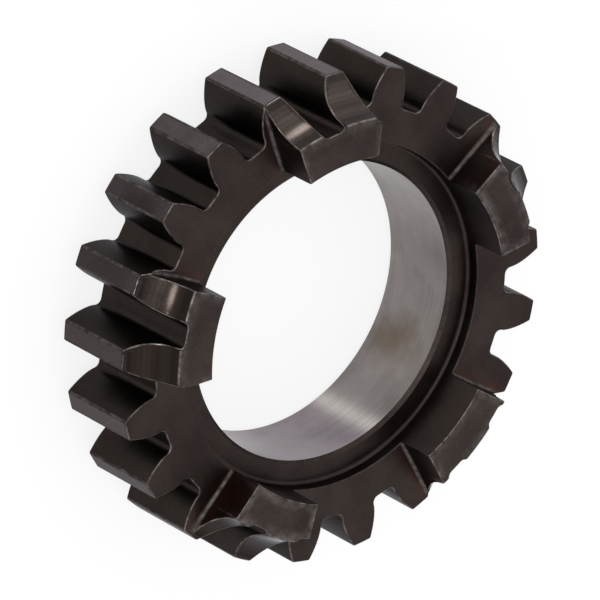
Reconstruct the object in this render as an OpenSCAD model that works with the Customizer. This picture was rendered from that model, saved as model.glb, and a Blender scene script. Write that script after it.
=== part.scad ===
// Countershaft gear: a spur gear ring with five driving dogs on its front face.
// Lies on its back boss, centre of the bore on the back face at the origin, +Z towards the dogs.
// Millimetres.

/* [Teeth] */
// Number of teeth
tooth_count = 21; // [19:1:24]
// Pitch diameter divided by the number of teeth
tooth_module = 3.175; // [2.9:0.025:3.5]
// Pressure angle of the flanks, degrees
pressure_angle = 20; // [18:0.5:22]
// Height of a stub tooth above the pitch circle
addendum = 2.54; // [2.2:0.02:2.8]
// Depth of a stub tooth below the pitch circle
dedendum = 3.175; // [2.9:0.025:3.4]
// Width of the toothed ring
face_width = 13.4; // [11:0.1:16]
// Fillet between flank and root
root_fillet = 0.9; // [0.5:0.05:1]

/* [Bore] */
// Diameter of the ground bore
bore_diameter = 43.4; // [40:0.1:45]
// Chamfer at the front end of the bore
front_chamfer = 0.5; // [0.2:0.05:0.8]
// Chamfer at the back end of the bore
back_chamfer = 0.4; // [0.2:0.05:0.8]
// Diameter of the counterbore on the dog side
counterbore_diameter = 50.2; // [48.4:0.1:52]
// Depth of the counterbore below the front face
counterbore_depth = 2; // [1:0.1:3]
// Fillet in the corner of the counterbore
counterbore_fillet = 0.5; // [0.2:0.05:0.8]

/* [Back boss] */
// Diameter of the thrust boss on the back
boss_diameter = 56; // [54:0.1:58]
// Height of the thrust boss
boss_height = 2.2; // [1:0.1:3]
// Chamfer round the thrust boss
boss_chamfer = 0.4; // [0.2:0.05:0.8]

/* [Dogs] */
// Number of driving dogs
dog_count = 5; // [4:1:6]
// Height of a dog above the front face
dog_height = 6.1; // [4.5:0.1:7]
// Angle between the two radial sides of a dog
dog_angle = 26.8; // [22:0.1:30]
// Radius of a dog at its front face
dog_front_radius = 30.8; // [30.4:0.1:32]
// Radius of the hollow turned behind a dog, from the tip circle to its front face
relief_radius = 7.4; // [7:0.1:12]
// How far outside the tip circle the turned hollow meets the level of the front face
relief_land = 0.1; // [0.05:0.05:0.3]
// Fillet along the foot of the dog sides
dog_fillet = 0.6; // [0.3:0.05:0.9]
// Angle from the middle of a tooth to the middle of the dog beside it
dog_offset = -0.5; // [-8:0.1:8]

/* [Hidden] */
$fn = 72;

pitch_radius = tooth_module * tooth_count / 2;
base_radius = pitch_radius * cos(pressure_angle);
tip_radius = pitch_radius + addendum;
root_radius = pitch_radius - dedendum;
bore_radius = bore_diameter / 2;
counterbore_radius = counterbore_diameter / 2;
boss_radius = boss_diameter / 2;
face_z = boss_height + face_width;
dog_z = face_z + dog_height;
floor_z = face_z - counterbore_depth;
bore_front_z = floor_z - front_chamfer;
// half the angle of a tooth at the pitch circle and at the base circle
half_tooth = 90 / tooth_count;
base_half_angle = half_tooth + involute(pressure_angle);
// points along a flank and round a root fillet
flank_steps = 4;
fillet_steps = 3;
// how far a cut runs past the faces it cuts, and how far a tooth runs into the ring
overlap = 1;
root_overlap = 0.1;
// a flank runs on past the tip circle, which trims it
flank_end = tip_radius + addendum / 8;
// gap between two dogs, milled from inside the bore to outside the tip circle
gap_angle = 360 / dog_count - dog_angle;
gap_inner = bore_radius - 2 * overlap;
gap_outer = tip_radius + 2 * overlap;

// centre of the turned hollow, from its two end points and its radius
relief_start = [tip_radius + relief_land, face_z];
relief_end = [dog_front_radius, dog_z];
relief_chord = relief_end - relief_start;
relief_reach = sqrt(pow(relief_radius, 2) - pow(norm(relief_chord) / 2, 2));
relief_normal = [relief_chord[1], -relief_chord[0]] / norm(relief_chord);
relief_centre = (relief_start + relief_end) / 2 + relief_normal * relief_reach;

steel = [0.22, 0.19, 0.18];

// involute function, in degrees
function involute(a) = tan(a) * 180 / PI - a;

// half the angle of a tooth at radius r, on or outside the base circle
function flank_angle(r) = base_half_angle - involute(acos(base_radius / r));

function polar(r, a) = [r * cos(a), r * sin(a)];

// angle between the flank and the centre of the root fillet
fillet_angle = asin(root_fillet / (root_radius + root_fillet));
fillet_centre = polar(root_radius + root_fillet, base_half_angle + fillet_angle);

// one side of a tooth, from inside the root circle to beyond the tip circle
function tooth_side() = concat(
  [polar(root_radius - root_overlap, base_half_angle + fillet_angle)],
  [for (i = [1 : fillet_steps])
    fillet_centre + root_fillet * polar(1, base_half_angle + fillet_angle + 180
      + i * (90 - fillet_angle) / fillet_steps)],
  [for (i = [0 : flank_steps])
    let (r = base_radius + (flank_end - base_radius) * i / flank_steps)
    polar(r, flank_angle(r))]
);

function mirrored(points) =
  [for (i = [len(points) - 1 : -1 : 0]) [points[i][0], -points[i][1]]];

module tooth() {
  polygon(concat(tooth_side(), mirrored(tooth_side())));
}

// section of the toothed ring
module tooth_form() {
  circle(r = root_radius);
  intersection() {
    circle(r = tip_radius);
    for (i = [0 : tooth_count - 1])
      rotate(i * 360 / tooth_count) tooth();
  }
}

// half section of the turned blank, dogs as a full ring
module blank_section() {
  difference() {
    polygon([
      [bore_radius - overlap, 0],
      [boss_radius - boss_chamfer, 0],
      [boss_radius, boss_chamfer],
      [boss_radius, boss_height],
      [tip_radius + overlap, boss_height],
      [tip_radius + overlap, face_z],
      [tip_radius + relief_land, face_z],
      [dog_front_radius, dog_z],
      [bore_radius - overlap, dog_z]
    ]);
    translate(relief_centre) circle(r = relief_radius);
  }
}

module blank() {
  rotate_extrude() blank_section();
}

// fillet along the foot of one dog side, the side in the XZ plane
module side_fillet() {
  translate([gap_inner - overlap, 0, face_z])
    rotate([90, 0, 90])
      linear_extrude(gap_outer - gap_inner + 2 * overlap)
        difference() {
          translate([-dog_fillet, -dog_fillet]) square(2 * dog_fillet);
          translate([dog_fillet, dog_fillet]) circle(r = dog_fillet);
        }
}

// space between two dogs, down to the front face
module dog_gap() {
  difference() {
    rotate_extrude(angle = gap_angle)
      translate([gap_inner, face_z])
        square([gap_outer - gap_inner, dog_height + overlap]);
    side_fillet();
    rotate([0, 0, gap_angle]) mirror([0, 1, 0]) side_fillet();
  }
}

module bore_section() {
  difference() {
    polygon([
      [0, -overlap],
      [bore_radius + back_chamfer + overlap, -overlap],
      [bore_radius, back_chamfer],
      [bore_radius, bore_front_z],
      [bore_radius + front_chamfer, floor_z],
      [counterbore_radius, floor_z],
      [counterbore_radius, dog_z + overlap],
      [0, dog_z + overlap]
    ]);
    translate([counterbore_radius - counterbore_fillet, floor_z - overlap])
      difference() {
        square([counterbore_fillet + overlap, counterbore_fillet + overlap]);
        translate([0, counterbore_fillet + overlap]) circle(r = counterbore_fillet);
      }
  }
}

module bore_cut() {
  rotate_extrude()
    bore_section();
}

module countershaft_gear() {
  color(steel)
    difference() {
      intersection() {
        translate([0, 0, -overlap]) linear_extrude(dog_z + 2 * overlap) tooth_form();
        difference() {
          blank();
          for (i = [0 : dog_count - 1])
            rotate([0, 0, dog_offset + dog_angle / 2 + i * 360 / dog_count]) dog_gap();
        }
      }
      bore_cut();
    }
}

countershaft_gear();
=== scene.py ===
import math
import bmesh
import bpy
import numpy as np
from mathutils import Matrix, Vector


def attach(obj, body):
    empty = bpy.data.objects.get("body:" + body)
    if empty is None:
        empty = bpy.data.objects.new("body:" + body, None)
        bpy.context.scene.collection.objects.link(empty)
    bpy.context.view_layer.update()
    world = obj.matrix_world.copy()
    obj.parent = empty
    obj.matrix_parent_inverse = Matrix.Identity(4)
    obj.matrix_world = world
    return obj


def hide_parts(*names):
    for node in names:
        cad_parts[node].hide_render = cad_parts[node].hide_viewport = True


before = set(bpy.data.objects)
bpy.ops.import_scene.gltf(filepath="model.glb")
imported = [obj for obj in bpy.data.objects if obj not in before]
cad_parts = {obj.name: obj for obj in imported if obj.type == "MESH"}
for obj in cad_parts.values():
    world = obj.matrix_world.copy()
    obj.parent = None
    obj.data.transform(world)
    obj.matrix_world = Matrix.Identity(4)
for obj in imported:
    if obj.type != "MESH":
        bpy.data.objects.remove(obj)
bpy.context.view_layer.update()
print("frame loaded")

mm = 0.001  # a millimetre in metres
fullTurn = 2 * math.pi
quarter = np.linspace(0, math.pi / 2, 5)  # turns of the points round a rounded edge

# inputs and output of nodes whose sockets share their names
fromRange, toRange = (1, 2), (3, 4)
mixShare, mixFirst, mixSecond, mixOut = 0, 6, 7, 2


def hexColour(code):
    # sRGB hex to linear, alpha 1: the darkest tones divided by 12.92, the others on the 2.4 power curve
    srgb = np.array([int(code[i:i + 2], 16) for i in (1, 3, 5)]) / 255
    linear = np.where(srgb <= 0.04045, srgb / 12.92, ((srgb + 0.055) / 1.055) ** 2.4)
    return (*linear.tolist(), 1.0)


def addNode(tree, kind, settings=None, links=None):
    # a setting is one of the node's own options, an input by name or number, or a pair of inputs;
    # a link is input: (node, output)
    node = tree.nodes.new(kind)
    for key, value in (settings or {}).items():
        if isinstance(key, tuple):
            for socket, part in zip(key, value):
                node.inputs[socket].default_value = part
        elif isinstance(key, str) and key in node.bl_rna.properties:
            setattr(node, key, value)
        else:
            node.inputs[key].default_value = value
    for key, (source, output) in (links or {}).items():
        tree.links.new(source.outputs[output], node.inputs[key])
    return node


def newMaterial(name):
    # a material with an empty node tree
    material = bpy.data.materials.new(name)
    material.use_nodes = True
    material.node_tree.nodes.clear()
    return material, material.node_tree


oxideLook = {
    # the oxide between its darker and lighter clouds, bare steel on rubbed edges, oil stain, grazing tint
    "dark": "#312A28", "light": "#3F3734", "worn": "#87807D", "stain": "#50302A", "grazing": "#D2D2D6",
    "roughness": (0.34, 0.48),
    # clouds of the oxide: their width, (detail, roughness) and range of the noise; painted light: how far the
    # tone leans lighter per mm of Y
    "cloudMm": 7.0, "cloudNoise": (4.0, 0.6), "cloudRange": (0.35, 0.68), "paintedLightSlope": 0.0,
    "roughRange": (0.3, 0.7),
    # grain of the oxide, really about 0.05 mm: too fine to show, so it is drawn coarser
    "grainMm": 0.22, "grainNoise": (2.0, 0.7), "grainRange": (0.3, 0.72), "grainTone": (0.8, 1.18),
    "grainBump": 0.25, "bumpMm": 0.02,
    # patches in which the rubbed edges and the stain come and go
    "patchMm": 1.3, "patchNoise": (3.0, 0.65),
    "stainRange": (0.4, 0.66), "stainShare": (0.1, 0.75), "wearRange": (0.38, 0.64), "wearShare": (0.1, 1.0),
    # turning marks, really 0.1 to 0.2 mm apart: too fine to show, so they are drawn coarser, and on the
    # hollows they also paint light and dark bands of reflection; which part of the noise is read, and how
    # far they change the tone
    "bandMm": 1.5, "bandNoise": (2.0, 0.5), "bandRange": (0.35, 0.65), "bandShift": 0.0, "bandDepth": 0.0,
    # share of the face under an oil film
    "oil": 0.0, "oilRoughness": 0.15,
    # painted shade, darker round one point: its middle and reach in mm, and how much it takes away there
    "shadePlace": (-34.8, -8.7, 9.0), "shadeReach": 27.0, "shadeShare": 0.0,
}


def makeOxide(name, look):
    # hardened gear steel under a thin brown-black oxide: satin, almost black in the deep spaces, rubbed
    # brighter on the rounded edges, with a red-brown oil stain at the feet and sides of the dogs.
    # Colour: clouds leaning lighter along Y as painted light, between dark and light, times grain, bands and
    # a painted shade round one point, then towards the stain and bare steel by the mesh's own stained and
    # worn shares times the patches
    material, tree = newMaterial(name)
    place = addNode(tree, "ShaderNodeTexCoord")
    clouds, grain, patches = (
        addNode(tree, "ShaderNodeTexNoise",
                {"Scale": 1 / (look[width] * mm), ("Detail", "Roughness"): look[noise]},
                {"Vector": (place, "Object")})
        for width, noise in (("cloudMm", "cloudNoise"), ("grainMm", "grainNoise"), ("patchMm", "patchNoise")))
    split = addNode(tree, "ShaderNodeSeparateXYZ", links={0: (place, "Object")})
    # painted light: the clouds lean lighter along Y, as if light fell on one side of the ring
    uneven = addNode(tree, "ShaderNodeMath", {"operation": "MULTIPLY_ADD", 1: look["paintedLightSlope"] / mm},
                     {0: (split, "Y"), 2: (clouds, 0)})
    cloudTone = addNode(tree, "ShaderNodeMapRange", {fromRange: look["cloudRange"]}, {0: (uneven, 0)})
    dark, light = hexColour(look["dark"]), hexColour(look["light"])
    oxide = addNode(tree, "ShaderNodeMix", {"data_type": "RGBA", mixFirst: dark, mixSecond: light},
                    {mixShare: (cloudTone, 0)})
    grainTone = addNode(tree, "ShaderNodeMapRange",
                        {fromRange: look["grainRange"], toRange: look["grainTone"]}, {0: (grain, 0)})
    # turning marks run round the axis, so their noise is read along radius and height only
    level = addNode(tree, "ShaderNodeCombineXYZ", links={"X": (split, "X"), "Y": (split, "Y")})
    radius = addNode(tree, "ShaderNodeVectorMath", {"operation": "LENGTH"}, {0: (level, 0)})
    section = addNode(tree, "ShaderNodeCombineXYZ", {"Y": look["bandShift"] * mm},
                      {"X": (radius, "Value"), "Z": (split, "Z")})
    bands = addNode(tree, "ShaderNodeTexNoise",
                    {"Scale": 1 / (look["bandMm"] * mm), ("Detail", "Roughness"): look["bandNoise"]},
                    {"Vector": (section, 0)})
    # on the hollows these bands partly paint light and dark stripes of reflection
    bandTones = (1 - look["bandDepth"], 1 + look["bandDepth"])
    bandTone = addNode(tree, "ShaderNodeMapRange", {fromRange: look["bandRange"], toRange: bandTones},
                       {0: (bands, 0)})
    marks = addNode(tree, "ShaderNodeMath", {"operation": "MULTIPLY"},
                    {0: (grainTone, 0), 1: (bandTone, 0)})
    # painted shade: the tone darkens towards one point on the side of the ring
    shadePoint = [value * mm for value in look["shadePlace"]]
    away = addNode(tree, "ShaderNodeVectorMath", {"operation": "DISTANCE", 1: shadePoint},
                   {0: (place, "Object")})
    shaded = addNode(tree, "ShaderNodeMapRange",
                     {fromRange: (0.0, look["shadeReach"] * mm), toRange: (1 - look["shadeShare"], 1.0)},
                     {0: (away, "Value")})
    tones = addNode(tree, "ShaderNodeMath", {"operation": "MULTIPLY"}, {0: (marks, 0), 1: (shaded, 0)})
    grained = addNode(tree, "ShaderNodeMix", {"data_type": "RGBA", "blend_type": "MULTIPLY", mixShare: 1.0},
                      {mixFirst: (oxide, mixOut), mixSecond: (tones, 0)})
    stained = addNode(tree, "ShaderNodeAttribute", {"attribute_name": "stained"})
    stainTone = addNode(tree, "ShaderNodeMapRange",
                        {fromRange: look["stainRange"], toRange: look["stainShare"]}, {0: (patches, 0)})
    stain = addNode(tree, "ShaderNodeMath", {"operation": "MULTIPLY"},
                    {0: (stained, "Fac"), 1: (stainTone, 0)})
    oily = addNode(tree, "ShaderNodeMix", {"data_type": "RGBA", mixSecond: hexColour(look["stain"])},
                   {mixShare: (stain, 0), mixFirst: (grained, mixOut)})
    worn = addNode(tree, "ShaderNodeAttribute", {"attribute_name": "worn"})
    wearTone = addNode(tree, "ShaderNodeMapRange", {fromRange: look["wearRange"], toRange: look["wearShare"]},
                       {0: (patches, 0)})
    wear = addNode(tree, "ShaderNodeMath", {"operation": "MULTIPLY"}, {0: (worn, "Fac"), 1: (wearTone, 0)})
    colour = addNode(tree, "ShaderNodeMix", {"data_type": "RGBA", mixSecond: hexColour(look["worn"])},
                     {mixShare: (wear, 0), mixFirst: (oily, mixOut)})
    rough = addNode(tree, "ShaderNodeMapRange", {fromRange: look["roughRange"], toRange: look["roughness"]},
                    {0: (clouds, 0)})
    bump = addNode(tree, "ShaderNodeBump", {"Strength": look["grainBump"], "Distance": look["bumpMm"] * mm},
                   {"Height": (grain, 0)})
    steel = addNode(tree, "ShaderNodeBsdfPrincipled",
                    {"Metallic": 1.0, "Specular Tint": hexColour(look["grazing"]), "Coat Weight": look["oil"],
                     "Coat Roughness": look["oilRoughness"]},
                    {"Base Color": (colour, mixOut), "Roughness": (rough, 0), "Normal": (bump, 0)})
    addNode(tree, "ShaderNodeOutputMaterial", links={"Surface": (steel, 0)})
    return material


boreLook = {
    "light": "#8E8886", "dark": "#706A68", "violetLight": "#8E8589", "violetDark": "#70686F",
    # the pale streak colour is a painted highlight, the reflection of light running down the bore
    "stain": "#5C4A34", "paintedHighlight": "#CDC6C3", "roughness": 0.3,
    # grinding lines, really under 0.05 mm: too fine to show, so they are drawn coarser; noise along the
    # bore per radian, and their share in the tone and in the painted highlight streak
    "lineMm": 0.3, "lineNoise": (3.0, 0.6), "lineTurn": 1.2, "lineShare": 0.45,
    "lineBump": 0.35, "bumpMm": 0.01, "breakRange": (0.3, 0.7), "breakShare": (0.45, 0.8),
    "cloudMm": 9.0, "cloudNoise": (3.0, 0.55), "toneRange": (0.5, 0.95),
    # where things lie, as angles in degrees round the bore: the violet part and the painted highlight streak
    # with its width
    "violetTurn": (-26.0, -14.0), "paintedHighlightTurn": -18.2, "paintedHighlightWidth": 4.2,
    # the stain as a point in mm, its reach, how far the clouds push its edge, and its share at the middle
    "stainPlace": (21.1, 5.0, 6.3), "stainReach": 5.5, "stainPush": 7.0, "stainShare": 0.9,
}


def makeGroundBore(name, look):
    # the same steel ground after hardening: mid grey with fine lines round the bore, a painted highlight
    # streak along it and a faint brown oil stain.
    # Colour: lines and clouds between dark and light, towards violet by angle, then the stain by distance
    # from its point and the painted highlight streak by angle
    material, tree = newMaterial(name)
    place = addNode(tree, "ShaderNodeTexCoord")
    split = addNode(tree, "ShaderNodeSeparateXYZ", links={0: (place, "Object")})
    turn = addNode(tree, "ShaderNodeMath", {"operation": "ARCTAN2"}, {0: (split, "Y"), 1: (split, "X")})
    along = addNode(tree, "ShaderNodeMath", {"operation": "DIVIDE", 1: look["lineMm"] * mm},
                    {0: (split, "Z")})
    around = addNode(tree, "ShaderNodeMath", {"operation": "MULTIPLY", 1: look["lineTurn"]},
                     {0: (turn, 0)})
    lineSpot = addNode(tree, "ShaderNodeCombineXYZ", links={"X": (around, 0), "Z": (along, 0)})
    lines = addNode(tree, "ShaderNodeTexNoise", {"Scale": 1.0, ("Detail", "Roughness"): look["lineNoise"]},
                    {"Vector": (lineSpot, 0)})
    clouds = addNode(tree, "ShaderNodeTexNoise",
                     {"Scale": 1 / (look["cloudMm"] * mm), ("Detail", "Roughness"): look["cloudNoise"]},
                     {"Vector": (place, "Object")})
    tone = addNode(tree, "ShaderNodeMath", {"operation": "MULTIPLY_ADD", 1: look["lineShare"]},
                   {0: (lines, 0), 2: (clouds, 0)})
    groundTone = addNode(tree, "ShaderNodeMapRange", {fromRange: look["toneRange"]}, {0: (tone, 0)})
    ground, violet = (
        addNode(tree, "ShaderNodeMix",
                {"data_type": "RGBA", mixFirst: hexColour(look[dark]), mixSecond: hexColour(look[light])},
                {mixShare: (groundTone, 0)})
        for dark, light in (("dark", "light"), ("violetDark", "violetLight")))
    start, end = (math.radians(angle) for angle in look["violetTurn"])
    violetShare = addNode(tree, "ShaderNodeMapRange",
                          {"interpolation_type": "SMOOTHSTEP", fromRange: (end, start)}, {0: (turn, 0)})
    cooled = addNode(tree, "ShaderNodeMix", {"data_type": "RGBA"},
                     {mixShare: (violetShare, 0), mixFirst: (ground, mixOut), mixSecond: (violet, mixOut)})
    stainPoint = [value * mm for value in look["stainPlace"]]
    away = addNode(tree, "ShaderNodeVectorMath", {"operation": "DISTANCE", 1: stainPoint},
                   {0: (place, "Object")})
    spread = addNode(tree, "ShaderNodeMath", {"operation": "MULTIPLY_ADD", 1: look["stainPush"] * mm},
                     {0: (clouds, 0), 2: (away, "Value")})
    stainStart = look["stainPush"] / 2  # the clouds add half the push on average
    stainShare = addNode(tree, "ShaderNodeMapRange",
                         {fromRange: ((look["stainReach"] + stainStart) * mm, stainStart * mm),
                          toRange: (0.0, look["stainShare"])}, {0: (spread, 0)})
    oily = addNode(tree, "ShaderNodeMix", {"data_type": "RGBA", mixSecond: hexColour(look["stain"])},
                   {mixShare: (stainShare, 0), mixFirst: (cooled, mixOut)})
    # the painted highlight streak is a bell curve over the angle: e to the power of minus (angle / width)
    # squared
    shifted = addNode(tree, "ShaderNodeMath", {"operation": "SUBTRACT", 1: math.radians(look["paintedHighlightTurn"])},
                      {0: (turn, 0)})
    scaled = addNode(tree, "ShaderNodeMath", {"operation": "DIVIDE", 1: math.radians(look["paintedHighlightWidth"])},
                     {0: (shifted, 0)})
    squared = addNode(tree, "ShaderNodeMath", {"operation": "MULTIPLY"}, {0: (scaled, 0), 1: (scaled, 0)})
    negative = addNode(tree, "ShaderNodeMath", {"operation": "MULTIPLY", 1: -1.0}, {0: (squared, 0)})
    bell = addNode(tree, "ShaderNodeMath", {"operation": "EXPONENT"}, {0: (negative, 0)})
    broken = addNode(tree, "ShaderNodeMapRange", {fromRange: look["breakRange"], toRange: look["breakShare"]},
                     {0: (lines, 0)})
    paintedHighlightShare = addNode(tree, "ShaderNodeMath", {"operation": "MULTIPLY"}, {0: (bell, 0), 1: (broken, 0)})
    # painted highlight: the pale streak colour mixed in by angle round the bore
    colour = addNode(tree, "ShaderNodeMix", {"data_type": "RGBA", mixSecond: hexColour(look["paintedHighlight"])},
                     {mixShare: (paintedHighlightShare, 0), mixFirst: (oily, mixOut)})
    bump = addNode(tree, "ShaderNodeBump", {"Strength": look["lineBump"], "Distance": look["bumpMm"] * mm},
                   {"Height": (lines, 0)})
    steel = addNode(tree, "ShaderNodeBsdfPrincipled", {"Metallic": 1.0, "Roughness": look["roughness"]},
                    {"Base Color": (colour, mixOut), "Normal": (bump, 0)})
    addNode(tree, "ShaderNodeOutputMaterial", links={"Surface": (steel, 0)})
    return material


# the gear again with its edges rounded, in mm and degrees
gearForm = {
    # the tip radius is a hair less, so the scene stays inside its box
    "teeth": 21, "module": 3.175, "pressureAngle": 20.0, "tipRadius": 35.87, "dedendum": 3.175,
    "rootFillet": 0.9, "boreRadius": 21.7, "backChamfer": 0.4, "frontChamfer": 0.5,
    "counterboreRadius": 25.1, "counterboreFillet": 0.5, "floorZ": 13.6,
    "bossRadius": 28.0, "bossHeight": 2.2, "bossChamfer": 0.4, "faceZ": 15.6,
    "dogs": 5, "dogZ": 21.7, "dogFrontRadius": 30.8, "dogHalfAngle": 13.4, "dogTurn": -0.5,
    "hollowRadius": 7.4, "hollowStart": 35.9775, "dogFillet": 0.6,
    # roundings worn on the edges, and how far from a rounding the flat begins
    "edgeRadius": 0.2, "cornerRadius": 0.35, "crestRadius": 0.3, "footRadius": 0.2, "chamferRadius": 0.06,
    "rim": 0.1,
    # side of a dog: offset of its foot from its top, where on that offset the wall has a column of its own,
    # the flat beyond its foot, and the radius where angles across it are turned to mm
    "wallStep": 0.01, "wallShare": 0.3, "footRim": 0.3, "sideRadius": 29.0,
    # points along each part
    "cornerSteps": 3, "flankPoints": 9, "filletPoints": 5, "rootPoints": 3, "crestSteps": 4,
    "hollowPoints": 13, "chamferSteps": 2, "counterboreSteps": 4, "wallRows": 4,
    # depth where a flank's direction is read, and the power that crowds its points towards the root
    "flankSample": 0.4, "flankCrowd": 1.4,
    # rows on flats: two radii on the back, starts above the counterbore floor and outside the boss, and the
    # radius beyond which a row of the top turns towards the outline's own points
    "backInner": 25.0, "backOuter": 26.0, "wallStart": 1.0, "bossStart": 0.6, "leanRadius": 29.0,
    # least step in radians between columns, the mm within which a column touches a side, and the mm within
    # which points are merged
    "leastTurn": 1e-7, "touch": 1e-6, "merge": 0.001,
    # how much each edge is rubbed, and how far the rub on a dog's front and the oil stain reach
    "outlineWear": 0.75, "landWear": 0.3, "dogWear": 1.0, "faceWear": 0.15, "backWear": 0.4,
    "chamferWear": 0.05, "footWear": 0.45, "rubReach": 1.3, "stainReach": 1.6,
    # rub on the front of each dog, from the dog at angle 0 on: at its sides and crest, at its inner edge
    "frontRub": (0.35, 0.5, 0.3, 0.3, 0.6), "innerRub": (0.2, 0.45, 0.0, 0.0, 0.4),
}

# material slots of the mesh, and parts of the outline of a tooth
faceFinish, boreFinish, landFinish, hollowFinish, dogFinish, flankFinish = range(6)
spacePart, landPart, cornerPart = range(3)


def polar(radius, angle):
    # x is radius times cosine, y is radius times sine
    return np.stack(np.broadcast_arrays(radius * np.cos(angle), radius * np.sin(angle)), axis=-1)


def unit(vector):
    # each vector divided by its length
    return vector / np.linalg.norm(vector, axis=-1, keepdims=True)


def cornerArc(corner, toBefore, toAfter, radius, steps):
    # arc tangent to both arms of a corner: it touches each arm at radius over the tangent of half the angle
    # between them, about a centre at radius over its sine; points are blended by sines from arm to arm
    half = np.arccos(np.clip(np.dot(toBefore, toAfter), -1, 1)) / 2
    reach = radius / np.tan(half)
    centre = corner + unit(toBefore + toAfter) * radius / np.sin(half)
    first = corner + toBefore * reach - centre
    last = corner + toAfter * reach - centre
    swing = math.pi - 2 * half
    t = np.linspace(0, 1, steps + 1)[:, None]
    return centre + (first * np.sin((1 - t) * swing) + last * np.sin(t * swing)) / np.sin(swing), reach


def roundPath(points, radii, steps, rim):
    # an (r, z) path with an arc for each inner corner and a short flat rim beside it;
    # the station of a point is its corner's number, with -0.3 to 0.3 for how far past the corner it lies
    points = np.array(points, dtype=float)
    parts = [points[:1]]
    stations = [np.zeros(1)]
    corners = zip(points, points[1:], points[2:], radii, steps)
    for number, (before, corner, after, radius, parting) in enumerate(corners, 1):
        toBefore = unit(before - corner)
        toAfter = unit(after - corner)
        arc, reach = cornerArc(corner, toBefore, toAfter, radius, parting)
        parts += [[corner + toBefore * (reach + rim)], arc, [corner + toAfter * (reach + rim)]]
        stations.append(number + np.concatenate([[-0.3], np.linspace(-0.2, 0.2, parting + 1), [0.3]]))
    return np.concatenate(parts + [points[-1:]]), np.append(np.concatenate(stations), len(points) - 1)


def toothOutline(form):
    # from the middle of a land to the middle of a space: land, rounded corner, involute with
    # angle = half tooth + inv(20) - inv(acos(base / r)), short radial line, root fillet, root arc;
    # mirrored for the other half and repeated round the ring
    teeth = form["teeth"]
    pressure = math.radians(form["pressureAngle"])
    pitchRadius = form["module"] * teeth / 2
    base = pitchRadius * math.cos(pressure)
    root = pitchRadius - form["dedendum"]
    tip = form["tipRadius"]
    baseHalf = math.pi / (2 * teeth) + math.tan(pressure) - pressure

    def flank(r):
        bend = np.arccos(np.clip(base / r, -1, 1))
        return polar(r, baseHalf - (np.tan(bend) - bend))

    corner = flank(tip)
    landSide = unit(np.array([corner[1], -corner[0]]))
    flankSide = unit(flank(tip - form["flankSample"]) - corner)
    arc, reach = cornerArc(corner, landSide, flankSide, form["cornerRadius"], form["cornerSteps"])
    landEnd = math.atan2(corner[1], corner[0]) - (reach + form["rim"]) / tip
    land = polar(tip, np.array([0.0, 1.0]) * landEnd)
    flankTop = np.linalg.norm(corner + flankSide * (reach + form["rim"]))
    down = np.linspace(1, 0, form["flankPoints"]) ** form["flankCrowd"]
    involute = flank(base + (flankTop - base) * down)
    fillet = form["rootFillet"]
    filletAngle = math.asin(fillet / (root + fillet))
    swing = np.linspace(baseHalf - math.pi / 2, baseHalf + filletAngle - math.pi, form["filletPoints"])
    bottom = polar(root + fillet, baseHalf + filletAngle) + fillet * polar(1.0, swing)
    rootArc = polar(root, np.linspace(baseHalf + filletAngle, math.pi / teeth, form["rootPoints"])[1:])
    half = np.concatenate([land, arc, involute, bottom, rootArc])
    inSpace = len(involute) + len(bottom) + len(rootArc)
    part = np.repeat([landPart, cornerPart, spacePart], [len(land), len(arc), inSpace])
    # the mirrored half comes first, without the points that both halves share
    tooth = np.concatenate([half[-2:0:-1] * (1, -1), half])
    toothPart = np.concatenate([part[-2:0:-1], part])
    turns = np.arange(teeth) * fullTurn / teeth
    radius = np.hypot(tooth[:, 0], tooth[:, 1])
    angle = np.arctan2(tooth[:, 1], tooth[:, 0])
    allAngles = (turns[:, None] + angle[None, :]).ravel()
    return np.tile(radius, teeth), allAngles, np.tile(toothPart, teeth)


def sideColumns(form):
    # extra columns at both sides of every dog, as depths inside the side turned to angles: a flat rim,
    # the rounding (1 - cosine of the turn), the upright wall, the fillet at its foot, a flat rim
    edge = form["edgeRadius"]
    foot = form["dogFillet"]
    step = form["wallStep"]
    inside = edge * (1 - np.cos(quarter))
    outside = -step - foot * (1 - np.cos(quarter))
    depth = np.concatenate([[edge + form["rim"]], inside[::-1], [-form["wallShare"] * step], outside,
                            [-step - foot - form["footRim"]]])
    reach = math.radians(form["dogHalfAngle"]) - depth / form["sideRadius"]
    middle = math.radians(form["dogTurn"]) + np.arange(form["dogs"]) * fullTurn / form["dogs"]
    return (middle[:, None, None] + np.array([-1, 1])[None, :, None] * reach[None, None, :]).ravel()


def outlineColumns(form):
    # all columns of the grid in order of angle, with outline point, outward normal and part of the tooth:
    # the normal is the tangent turned by a right angle, the tangent leans to the nearer neighbour
    radius, angle, part = toothOutline(form)
    angle = np.maximum.accumulate(angle + np.arange(len(angle)) * form["leastTurn"])
    extra = (sideColumns(form) - angle[0]) % fullTurn + angle[0]
    points = polar(radius, angle)
    backwards = points - np.roll(points, 1, axis=0)
    forwards = np.roll(backwards, -1, axis=0)
    near = np.linalg.norm(backwards, axis=1, keepdims=True)
    far = np.linalg.norm(forwards, axis=1, keepdims=True)
    tangent = unit(backwards / near ** 2 + forwards / far ** 2)
    normal = np.stack([tangent[:, 1], -tangent[:, 0]], axis=1)
    lapAngle = np.append(angle, angle[0] + fullTurn)

    def along(values):
        return np.interp(extra, lapAngle, np.append(values, values[0]))

    order = np.argsort(np.concatenate([angle, extra]), kind="stable")
    extraPoints = polar(1.0, extra) * along(radius)[:, None]
    extraNormal = unit(np.stack([along(normal[:, 0]), along(normal[:, 1])], axis=1))
    extraPart = part[np.searchsorted(angle, extra, side="right") - 1]
    extraPart[extraPart == cornerPart] = spacePart
    pairs = ((angle, extra), (points, extraPoints), (normal, extraNormal), (part, extraPart))
    return [np.concatenate(pair)[order] for pair in pairs]


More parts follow.
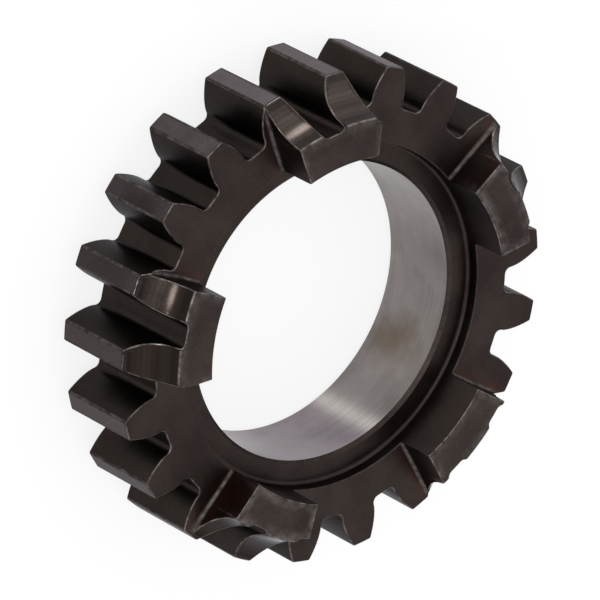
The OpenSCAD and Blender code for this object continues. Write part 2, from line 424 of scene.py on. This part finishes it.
def dogProfile(form):
    # radius and height over a dog: flat top, rounded crest, then the arc turned behind it, whose centre
    # lies on the line square to its chord, root of (radius squared less half the chord squared) away
    start = np.array([form["hollowStart"], form["faceZ"]])
    crest = np.array([form["dogFrontRadius"], form["dogZ"]])
    chord = crest - start
    across = unit(np.array([chord[1], -chord[0]]))
    reach = math.sqrt(form["hollowRadius"] ** 2 - np.dot(chord, chord) / 4)
    centre = (start + crest) / 2 + across * reach
    arm = crest - centre
    down = unit(np.array([-arm[1], arm[0]]))
    down = down * (-1 if down[1] > 0 else 1)
    rounding, length = cornerArc(crest, np.array([-1.0, 0.0]), down, form["crestRadius"], form["crestSteps"])
    first = math.atan2(arm[1], arm[0]) % fullTurn + length / form["hollowRadius"]
    last = math.atan2(start[1] - centre[1], start[0] - centre[0]) % fullTurn
    swing = np.concatenate([[first + form["rim"] / form["hollowRadius"]],
                            np.linspace(first, last, form["hollowPoints"])[1:]])
    arc = centre + form["hollowRadius"] * polar(1.0, swing)
    inner = form["counterboreRadius"] + form["edgeRadius"] + form["rim"]
    flatRadii = (inner, inner + form["rubReach"], form["leanRadius"], crest[0] - length - form["rim"])
    flat = [[radius, form["dogZ"]] for radius in flatRadii]
    rub = np.sin(np.linspace(0, math.pi, len(rounding))) * form["dogWear"]
    worn = np.concatenate([np.zeros(len(flat)), rub, np.zeros(len(arc))])
    finish = np.repeat([dogFinish, hollowFinish], [len(flat) + len(rounding) - 1, len(arc) + 1])
    return np.concatenate([flat, rounding, arc]), worn, finish


def dogSides(form, angle):
    # for each column its depth in mm inside the side of a dog, below 0 outside it, whether it is on a dog,
    # and that dog's number: depth is (half angle less angle from the dog's middle) times the side radius
    lap = fullTurn / form["dogs"]
    turned = angle - math.radians(form["dogTurn"]) + lap / 2
    across = turned % lap - lap / 2
    depth = (math.radians(form["dogHalfAngle"]) - np.abs(across)) * form["sideRadius"]
    return depth, depth > -form["wallStep"] / 2, np.floor(turned / lap).astype(int) % form["dogs"]


def edgeDrop(distance, radius):
    # drop of a rounded edge at a distance inside it: radius less root of (radius squared less rest squared)
    rest = np.clip(radius - distance, 0, radius)
    return radius - np.sqrt(radius ** 2 - rest ** 2)


def edgeRub(distance, radius):
    # rub on a rounded edge at a distance inside it: sine of twice the turn, so most at half way round
    return np.sin(2 * np.arccos(np.clip(1 - distance / radius, 0, 1)))


def buildGear(form):
    # one closed grid: a column for each angle round the ring, a row for each step round the section, from
    # the back face up the bore, over the top, down the teeth and back under the boss
    angle, outline, normal, part = outlineColumns(form)
    count = len(angle)
    edge = form["edgeRadius"]
    rim = form["rim"]
    foot = form["dogFillet"]
    bore = form["boreRadius"]
    counterbore = form["counterboreRadius"]
    boss = form["bossRadius"]
    profile, profileWorn, profileFinish = dogProfile(form)
    depth, isDog, dogNumber = dogSides(form, angle)
    beyond = -depth - form["wallStep"]
    inFoot = (beyond > 0) & (beyond < foot)
    sideWorn = edgeRub(depth, edge) * form["dogWear"]
    footWorn = np.where(inFoot, edgeRub(beyond, foot) * form["footWear"], 0)
    # the stain covers the side of a dog and fades beyond its foot; the fillet between is rubbed clean
    fading = np.clip(1 - (beyond - foot) / form["stainReach"], 0, 1)
    stain = np.where(depth < form["touch"], fading, 0) * ~inFoot

    def topHeight(radius):
        # the dog's profile less the rounding of its side, or the face with the fillet, never over the profile
        dog = np.interp(radius, profile[:, 0], profile[:, 1])
        drop = np.where(depth < -form["touch"], edge + rim, edgeDrop(depth, edge))
        onDog = np.maximum(dog - drop, np.minimum(form["faceZ"] + foot, dog))
        return np.where(isDog, onDog, np.minimum(form["faceZ"] + edgeDrop(beyond, foot), dog))

    def frontRub(radius):
        # a dog's front is rubbed towards its edges: 1 at the edge falling to 0 over the reach
        crest = form["dogFrontRadius"]
        sides = np.maximum(1 - depth / form["rubReach"], 1 + (radius - crest) / form["rubReach"])
        sides = sides * np.clip(depth / edge, 0, 1)
        inner = 1 - (radius - counterbore - edge - rim) / form["rubReach"]
        rub = np.maximum(np.clip(sides, 0, 1) * np.array(form["frontRub"])[dogNumber],
                         np.clip(inner, 0, 1) * np.array(form["innerRub"])[dogNumber])
        return np.where(isDog & (radius < crest), rub, 0)

    rows = []

    def addRow(place, height, worn=0.0, finish=faceFinish, stained=0.0):
        rows.append([place] + [np.broadcast_to(value, count) for value in (height, worn, finish, stained)])

    def addRing(radius, height, worn=0.0, finish=faceFinish):
        addRow(polar(radius, angle), height, worn, finish)

    # bore, its chamfers and the counterbore, up to just over the fillet in its corner
    chamfer = form["chamferRadius"]
    section, stations = roundPath([
        (form["backInner"], 0), (bore + form["backChamfer"], 0), (bore, form["backChamfer"]),
        (bore, form["floorZ"] - form["frontChamfer"]), (bore + form["frontChamfer"], form["floorZ"]),
        (counterbore, form["floorZ"]), (counterbore, form["floorZ"] + form["wallStart"])],
        [chamfer] * 4 + [form["counterboreFillet"]],
        [form["chamferSteps"]] * 4 + [form["counterboreSteps"]], rim)
    # the ground finish runs from corner 2 to corner 3, the front chamfer from 3 to 4
    for (radius, height), station in zip(section, stations):
        addRing(radius, height, form["chamferWear"] if 3 < station < 4 else 0.0,
                boreFinish if 2 < station < 3 else faceFinish)
    # wall of the counterbore and of the dogs, with the rounding over it
    addRing(counterbore, topHeight(counterbore) - edge - rim)
    for turn in quarter:
        radius = counterbore + edge * (1 - math.cos(turn))
        addRing(radius, topHeight(radius) - edge * (1 - math.sin(turn)),
                math.sin(2 * turn) * np.where(isDog, form["dogWear"], form["faceWear"]))
    # top, held back where the outline is nearer
    last = outline - (edge + rim) * normal
    lastRadius = np.linalg.norm(last, axis=1)
    lastTurn = (np.arctan2(last[:, 1], last[:, 0]) - angle + math.pi) % fullTurn - math.pi
    for (radius, _), worn, finish in zip(profile, profileWorn, profileFinish):
        held = np.minimum(radius, lastRadius)
        share = np.clip((held - form["leanRadius"]) / (lastRadius - form["leanRadius"]), 0, 1)
        free = radius < lastRadius
        rub = np.maximum(np.maximum(worn * isDog, sideWorn + footWorn) * free, frontRub(held))
        addRow(polar(held, angle + share * lastTurn), topHeight(held), rub,
               np.where(isDog, np.where(free, finish, dogFinish), faceFinish), stain)
    # rounding over the teeth, their sides, the rounding below them
    hollowStart = profile[np.argmax(profileFinish == hollowFinish), 0]
    lastFinish = np.where(isDog, np.where(lastRadius > hollowStart, hollowFinish, dogFinish), faceFinish)
    addRow(last, topHeight(lastRadius), np.maximum(sideWorn, frontRub(lastRadius)), lastFinish, stain)
    for turn in quarter[::-1]:
        place = outline - edge * (1 - math.cos(turn)) * normal
        addRow(place, topHeight(np.linalg.norm(place, axis=1)) - edge * (1 - math.sin(turn)),
               math.sin(2 * turn) * form["outlineWear"], lastFinish)
    wallTop = topHeight(np.linalg.norm(outline, axis=1)) - edge - rim
    wallEnd = form["bossHeight"] + edge + rim
    cornerWorn = (part == cornerPart) * form["landWear"]
    wallFinish = np.where(part == landPart, landFinish, flankFinish)
    for share in np.linspace(0, 1, form["wallRows"]):
        addRow(outline, wallTop + (wallEnd - wallTop) * share, cornerWorn, wallFinish)
    for turn in quarter:
        addRow(outline - edge * (1 - math.cos(turn)) * normal,
               form["bossHeight"] + edge * (1 - math.sin(turn)), math.sin(2 * turn) * form["backWear"])
    addRow(last, form["bossHeight"])
    # back of the teeth and boss
    section, _ = roundPath([
        (boss + form["bossStart"], form["bossHeight"]), (boss, form["bossHeight"]),
        (boss, form["bossChamfer"]), (boss - form["bossChamfer"], 0), (form["backOuter"], 0)],
        [form["footRadius"], chamfer, chamfer], [form["chamferSteps"]] * 3, rim)
    for radius, height in section:
        addRing(radius, height)

    place, height, worn, finish, stained = (np.stack(values) for values in zip(*rows))
    points = np.concatenate([place, height[..., None]], axis=2).reshape(-1, 3) * mm
    row, column = np.meshgrid(np.arange(len(rows)), np.arange(count), indexing="ij")
    nextRow = (row + 1) % len(rows)
    nextColumn = (column + 1) % count
    quads = np.stack([row * count + column, row * count + nextColumn,
                      nextRow * count + nextColumn, nextRow * count + column], axis=-1).reshape(-1, 4)
    # a face has a finish when its rows and its columns share it
    same = (finish == np.roll(finish, -1, axis=0)) & (finish == np.roll(finish, -1, axis=1))
    slots = np.where(same, finish, faceFinish)
    return points, quads, slots.ravel(), worn.ravel(), stained.ravel()


def makeGear(form, materials):
    # the grid as a smooth mesh: slots on its faces, rub and stain on its points, doubles merged before the
    # faces are turned outwards
    points, quads, slots, worn, stained = buildGear(form)
    mesh = bpy.data.meshes.new("gearBody")
    mesh.from_pydata(points.tolist(), [], quads.tolist())
    for material in materials:
        mesh.materials.append(material)
    mesh.polygons.foreach_set("material_index", slots.astype(np.int32))
    for name, values in (("worn", worn), ("stained", stained)):
        mesh.attributes.new(name, "FLOAT", "POINT").data.foreach_set("value", values.astype(np.float32))
    shape = bmesh.new()
    shape.from_mesh(mesh)
    bmesh.ops.remove_doubles(shape, verts=shape.verts, dist=form["merge"] * mm)
    bmesh.ops.recalc_face_normals(shape, faces=shape.faces)
    shape.to_mesh(mesh)
    shape.free()
    mesh.polygons.foreach_set("use_smooth", np.ones(len(mesh.polygons), dtype=bool))
    gear = bpy.data.objects.new("gearBody", mesh)
    bpy.context.scene.collection.objects.link(gear)
    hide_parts("countershaft_gear")
    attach(gear, "root")
    return gear


# tooth tips, turned before the oxide: a paler, cooler grey, paler partly as painted light; painted lighter
# towards +Y and painted shade round one point on the camera's side
landLook = dict(oxideLook, dark="#564D4C", light="#6A6264", roughness=(0.36, 0.46), paintedLightSlope=0.012,
                shadeShare=0.75)
# hollows behind the dogs, turned smooth and oily: a tight highlight, broken by bands round the axis that are
# partly painted reflection, and the tone painted lighter towards +Y
hollowLook = dict(oxideLook, dark="#29211C", light="#463E3A", roughness=(0.15, 0.2), paintedLightSlope=0.012,
                  bandShift=2.1, bandDepth=0.5, oil=0.15, grainBump=0.08)
# fronts of the dogs, faced flat: the oxide a little lighter
dogLook = dict(oxideLook, dark="#362F2D", light="#453D3A")
# flanks and roots, hobbed and never rubbed: the oxide at its darkest
flankLook = dict(oxideLook, dark="#28231F", light="#332D29", roughness=(0.34, 0.44))

# in the order of the material slots
gear = makeGear(gearForm, [
    makeOxide("blackenedSteel", oxideLook), makeGroundBore("groundSteel", boreLook),
    makeOxide("turnedTipSteel", landLook), makeOxide("turnedHollowSteel", hollowLook),
    makeOxide("facedDogSteel", dogLook), makeOxide("hobbedSteel", flankLook)])
print("gear made:", len(gear.data.polygons), "faces")


# floor, world and soft boxes, in metres and watts
studio = {
    "floorHeight": -0.05 * mm, "floorSize": 3.0, "floorColour": "#EDEDED", "floorGlow": 0.7,
    "glowStrength": 1.16, "worldStrength": 0.75, "worldColour": "#FFFFFF",
    # the point the boxes are aimed at, and each box as direction, distance, width and power
    "aim": (0, 0, 0.011),
    "boxes": {
        "leftBox": ((-0.793, -0.539, 0.279), 0.6, 0.12, 0.46),
        "topBox": ((-0.59, 0.793, 0.12), 0.6, 0.15, 0.36),
        "frontBox": ((-0.666, -0.141, 0.732), 1.6, 0.4, 2.0),
    },
}


def seenRays(tree):
    # 1 for what the camera sees, directly, mirrored or through glass, 0 for light on the object
    rays = addNode(tree, "ShaderNodeLightPath")
    direct = addNode(tree, "ShaderNodeMath", {"operation": "MAXIMUM"},
                     {0: (rays, "Is Camera Ray"), 1: (rays, "Is Glossy Ray")})
    return addNode(tree, "ShaderNodeMath", {"operation": "MAXIMUM"},
                   {0: (direct, 0), 1: (rays, "Is Transmission Ray")})


def makeFloor(setup):
    # pale matt paper, a square; where it is seen a share of it glows white, so it stays white beside a
    # soft shadow
    half = setup["floorSize"] / 2
    z = setup["floorHeight"]
    mesh = bpy.data.meshes.new("floor")
    mesh.from_pydata([(-half, -half, z), (half, -half, z), (half, half, z), (-half, half, z)], [],
                     [(0, 1, 2, 3)])
    material, tree = newMaterial("paleFloor")
    share = addNode(tree, "ShaderNodeMath", {"operation": "MULTIPLY", 1: setup["floorGlow"]},
                    {0: (seenRays(tree), 0)})
    paint = addNode(tree, "ShaderNodeBsdfDiffuse", {"Color": hexColour(setup["floorColour"])})
    glow = addNode(tree, "ShaderNodeEmission", {"Strength": setup["glowStrength"]})
    both = addNode(tree, "ShaderNodeMixShader", links={0: (share, 0), 1: (paint, 0), 2: (glow, 0)})
    addNode(tree, "ShaderNodeOutputMaterial", links={"Surface": (both, 0)})
    mesh.materials.append(material)
    floor = bpy.data.objects.new("floor", mesh)
    bpy.context.scene.collection.objects.link(floor)


def makeWorld(setup):
    # white all round, at full strength where it is seen and a plain level as light on the object
    world = bpy.data.worlds.new("studio")
    world.use_nodes = True
    tree = world.node_tree
    tree.nodes.clear()
    level = addNode(tree, "ShaderNodeMapRange", {toRange: (setup["worldStrength"], 1.0)},
                    {0: (seenRays(tree), 0)})
    back = addNode(tree, "ShaderNodeBackground", {"Color": hexColour(setup["worldColour"])},
                   {"Strength": (level, 0)})
    addNode(tree, "ShaderNodeOutputWorld", links={"Surface": (back, 0)})
    bpy.context.scene.world = world


def softBox(name, aim, direction, distance, width, power):
    # a round soft box at a distance from the aimed point, turned towards it
    data = bpy.data.lights.new(name, "AREA")
    data.shape = "DISK"
    data.size = width
    data.energy = power
    box = bpy.data.objects.new(name, data)
    box.visible_camera = False
    box.location = aim + Vector(direction).normalized() * distance
    box.rotation_euler = (aim - box.location).to_track_quat("-Z", "Y").to_euler()
    bpy.context.scene.collection.objects.link(box)


makeFloor(studio)
makeWorld(studio)
for boxName, boxSetup in studio["boxes"].items():
    softBox(boxName, Vector(studio["aim"]), *boxSetup)
print("floor and light ready")


# camera solved from the tooth tips and both ends of the bore: place, lens and sensor in mm, clip in metres
view = {
    "place": (-809.509, -171.946, 898.396), "right": (0.539549, 0.586710, 0.603870),
    "up": (-0.515120, 0.797355, -0.314445), "back": (-0.665987, -0.141407, 0.732438),
    "lens": 530.125, "sensor": 36.0, "clip": (0.1, 20.0),
}


def makeCamera(setup):
    # its three axes are the columns of its turn
    data = bpy.data.cameras.new("camera")
    data.sensor_width = setup["sensor"]
    data.lens = setup["lens"]
    data.clip_start, data.clip_end = setup["clip"]
    camera = bpy.data.objects.new("camera", data)
    turned = Matrix((setup["right"], setup["up"], setup["back"])).transposed().to_4x4()
    camera.matrix_world = Matrix.Translation(Vector(setup["place"]) * mm) @ turned
    bpy.context.scene.collection.objects.link(camera)
    bpy.context.scene.camera = camera


makeCamera(view)
bpy.context.scene.view_settings.view_transform = "Standard"
print("camera ready")

bpy.context.view_layer.update()
